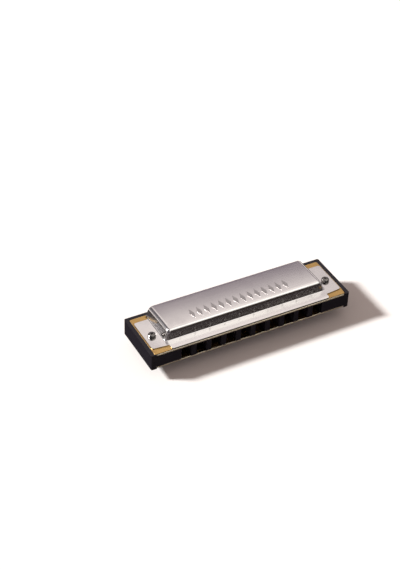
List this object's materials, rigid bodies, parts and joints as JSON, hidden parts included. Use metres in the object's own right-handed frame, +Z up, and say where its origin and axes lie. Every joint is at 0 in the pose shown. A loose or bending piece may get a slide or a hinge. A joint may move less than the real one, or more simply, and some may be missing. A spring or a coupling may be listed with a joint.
{
  "type": "diatonic harmonica",
  "caption": "Small mouth organ with a black plastic comb, brass reed plates, swinging reeds and pressed steel covers.",
  "frame": {"origin": "under the middle of the harmonica, on the surface that the lower cover rests on", "axes": "+X along the length towards the high notes, +Y from the mouth side to the back, +Z up"},
  "size_m": [0.102, 0.0282, 0.019],
  "materials": {
    "black_plastic": "satin moulded black",
    "brass": "rolled sheet, lightly tarnished",
    "reed_brass": "filed and bright",
    "steel_sheet": "polished pressed sheet",
    "steel_screw": "plated"
  },
  "bodies": {
    "harmonica_body": {"comb": "black_plastic", "upper_reed_plate": "brass", "lower_reed_plate": "brass", "upper_cover": "steel_sheet", "lower_cover": "steel_sheet", "left_cover_bolt": "steel_screw", "right_cover_bolt": "steel_screw", "left_cover_nut": "steel_screw", "right_cover_nut": "steel_screw", "upper_plate_screw_1": "steel_screw", "upper_plate_screw_2": "steel_screw", "upper_plate_screw_3": "steel_screw", "upper_plate_screw_4": "steel_screw", "upper_plate_screw_5": "steel_screw", "lower_plate_screw_1": "steel_screw", "lower_plate_screw_2": "steel_screw", "lower_plate_screw_3": "steel_screw", "lower_plate_screw_4": "steel_screw", "lower_plate_screw_5": "steel_screw", "blow_rivet_01": "brass", "blow_rivet_02": "brass", "blow_rivet_03": "brass", "blow_rivet_04": "brass", "blow_rivet_05": "brass", "blow_rivet_06": "brass", "blow_rivet_07": "brass", "blow_rivet_08": "brass", "blow_rivet_09": "brass", "blow_rivet_10": "brass", "draw_rivet_01": "brass", "draw_rivet_02": "brass", "draw_rivet_03": "brass", "draw_rivet_04": "brass", "draw_rivet_05": "brass", "draw_rivet_06": "brass", "draw_rivet_07": "brass", "draw_rivet_08": "brass", "draw_rivet_09": "brass", "draw_rivet_10": "brass"},
    "blow_reed_01": {"blow_reed_01": "reed_brass"},
    "blow_reed_02": {"blow_reed_02": "reed_brass"},
    "blow_reed_03": {"blow_reed_03": "reed_brass"},
    "blow_reed_04": {"blow_reed_04": "reed_brass"},
    "blow_reed_05": {"blow_reed_05": "reed_brass"},
    "blow_reed_06": {"blow_reed_06": "reed_brass"},
    "blow_reed_07": {"blow_reed_07": "reed_brass"},
    "blow_reed_08": {"blow_reed_08": "reed_brass"},
    "blow_reed_09": {"blow_reed_09": "reed_brass"},
    "blow_reed_10": {"blow_reed_10": "reed_brass"},
    "draw_reed_01": {"draw_reed_01": "reed_brass"},
    "draw_reed_02": {"draw_reed_02": "reed_brass"},
    "draw_reed_03": {"draw_reed_03": "reed_brass"},
    "draw_reed_04": {"draw_reed_04": "reed_brass"},
    "draw_reed_05": {"draw_reed_05": "reed_brass"},
    "draw_reed_06": {"draw_reed_06": "reed_brass"},
    "draw_reed_07": {"draw_reed_07": "reed_brass"},
    "draw_reed_08": {"draw_reed_08": "reed_brass"},
    "draw_reed_09": {"draw_reed_09": "reed_brass"},
    "draw_reed_10": {"draw_reed_10": "reed_brass"}
  },
  "joints": [
    {"name": "blow_reed_01_swing", "type": "hinge", "parent": "harmonica_body", "child": "blow_reed_01", "pos_m": [-0.03375, 0.0089, 0.01219], "axis": [1, 0, 0], "range_deg": [-3, 3], "stiffness_Nm_per_rad": 0.0162},
    {"name": "blow_reed_02_swing", "type": "hinge", "parent": "harmonica_body", "child": "blow_reed_02", "pos_m": [-0.02625, 0.00837, 0.01219], "axis": [1, 0, 0], "range_deg": [-3, 3], "stiffness_Nm_per_rad": 0.0221},
    {"name": "blow_reed_03_swing", "type": "hinge", "parent": "harmonica_body", "child": "blow_reed_03", "pos_m": [-0.01875, 0.00783, 0.01219], "axis": [1, 0, 0], "range_deg": [-3, 3], "stiffness_Nm_per_rad": 0.0267},
    {"name": "blow_reed_04_swing", "type": "hinge", "parent": "harmonica_body", "child": "blow_reed_04", "pos_m": [-0.01125, 0.0073, 0.01219], "axis": [1, 0, 0], "range_deg": [-3, 3], "stiffness_Nm_per_rad": 0.0402},
    {"name": "blow_reed_05_swing", "type": "hinge", "parent": "harmonica_body", "child": "blow_reed_05", "pos_m": [-0.00375, 0.00677, 0.01219], "axis": [1, 0, 0], "range_deg": [-3, 3], "stiffness_Nm_per_rad": 0.0535},
    {"name": "blow_reed_06_swing", "type": "hinge", "parent": "harmonica_body", "child": "blow_reed_06", "pos_m": [0.00375, 0.00623, 0.01219], "axis": [1, 0, 0], "range_deg": [-3, 3], "stiffness_Nm_per_rad": 0.0627},
    {"name": "blow_reed_07_swing", "type": "hinge", "parent": "harmonica_body", "child": "blow_reed_07", "pos_m": [0.01125, 0.0057, 0.01219], "axis": [1, 0, 0], "range_deg": [-3, 3], "stiffness_Nm_per_rad": 0.0915},
    {"name": "blow_reed_08_swing", "type": "hinge", "parent": "harmonica_body", "child": "blow_reed_08", "pos_m": [0.01875, 0.00517, 0.01219], "axis": [1, 0, 0], "range_deg": [-3, 3], "stiffness_Nm_per_rad": 0.117},
    {"name": "blow_reed_09_swing", "type": "hinge", "parent": "harmonica_body", "child": "blow_reed_09", "pos_m": [0.02625, 0.00463, 0.01219], "axis": [1, 0, 0], "range_deg": [-3, 3], "stiffness_Nm_per_rad": 0.132},
    {"name": "blow_reed_10_swing", "type": "hinge", "parent": "harmonica_body", "child": "blow_reed_10", "pos_m": [0.03375, 0.0041, 0.01219], "axis": [1, 0, 0], "range_deg": [-3, 3], "stiffness_Nm_per_rad": 0.183},
    {"name": "draw_reed_01_swing", "type": "hinge", "parent": "harmonica_body", "child": "draw_reed_01", "pos_m": [-0.03375, -0.006, 0.00532], "axis": [1, 0, 0], "range_deg": [-3, 3], "stiffness_Nm_per_rad": 0.0204},
    {"name": "draw_reed_02_swing", "type": "hinge", "parent": "harmonica_body", "child": "draw_reed_02", "pos_m": [-0.02625, -0.006, 0.00532], "axis": [1, 0, 0], "range_deg": [-3, 3], "stiffness_Nm_per_rad": 0.0312},
    {"name": "draw_reed_03_swing", "type": "hinge", "parent": "harmonica_body", "child": "draw_reed_03", "pos_m": [-0.01875, -0.006, 0.00532], "axis": [1, 0, 0], "range_deg": [-3, 3], "stiffness_Nm_per_rad": 0.0423},
    {"name": "draw_reed_04_swing", "type": "hinge", "parent": "harmonica_body", "child": "draw_reed_04", "pos_m": [-0.01125, -0.006, 0.00532], "axis": [1, 0, 0], "range_deg": [-3, 3], "stiffness_Nm_per_rad": 0.0507},
    {"name": "draw_reed_05_swing", "type": "hinge", "parent": "harmonica_body", "child": "draw_reed_05", "pos_m": [-0.00375, -0.006, 0.00532], "axis": [1, 0, 0], "range_deg": [-3, 3], "stiffness_Nm_per_rad": 0.0601},
    {"name": "draw_reed_06_swing", "type": "hinge", "parent": "harmonica_body", "child": "draw_reed_06", "pos_m": [0.00375, -0.006, 0.00532], "axis": [1, 0, 0], "range_deg": [-3, 3], "stiffness_Nm_per_rad": 0.079},
    {"name": "draw_reed_07_swing", "type": "hinge", "parent": "harmonica_body", "child": "draw_reed_07", "pos_m": [0.01125, -0.006, 0.00532], "axis": [1, 0, 0], "range_deg": [-3, 3], "stiffness_Nm_per_rad": 0.0815},
    {"name": "draw_reed_08_swing", "type": "hinge", "parent": "harmonica_body", "child": "draw_reed_08", "pos_m": [0.01875, -0.006, 0.00532], "axis": [1, 0, 0], "range_deg": [-3, 3], "stiffness_Nm_per_rad": 0.093},
    {"name": "draw_reed_09_swing", "type": "hinge", "parent": "harmonica_body", "child": "draw_reed_09", "pos_m": [0.02625, -0.006, 0.00532], "axis": [1, 0, 0], "range_deg": [-3, 3], "stiffness_Nm_per_rad": 0.104},
    {"name": "draw_reed_10_swing", "type": "hinge", "parent": "harmonica_body", "child": "draw_reed_10", "pos_m": [0.03375, -0.006, 0.00532], "axis": [1, 0, 0], "range_deg": [-3, 3], "stiffness_Nm_per_rad": 0.129}
  ]
}
